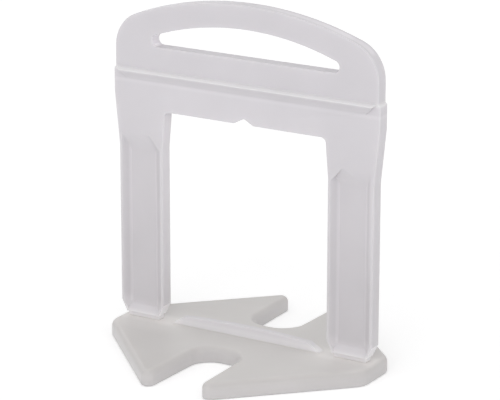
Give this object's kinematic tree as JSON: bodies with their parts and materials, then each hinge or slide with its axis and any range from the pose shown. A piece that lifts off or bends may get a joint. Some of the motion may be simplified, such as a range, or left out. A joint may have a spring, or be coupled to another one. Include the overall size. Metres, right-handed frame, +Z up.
{
  "type": "tile levelling clip",
  "caption": "Moulded tile levelling clip: slotted base plate, two legs round a wedge window, crossbar with shelf ribs and an arched handle with a finger slot.",
  "frame": {"origin": "middle of the base plate's underside", "axes": "+Z up through the handle, +X along the tile joint from leg to leg, +Y across the joint through the window"},
  "size_m": [0.0444, 0.0396, 0.0525],
  "materials": {
    "clip": "milky white natural polypropylene, as moulded, with a soft satin sheen"
  },
  "bodies": {
    "root": {"clip": "clip"}
  },
  "joints": []
}
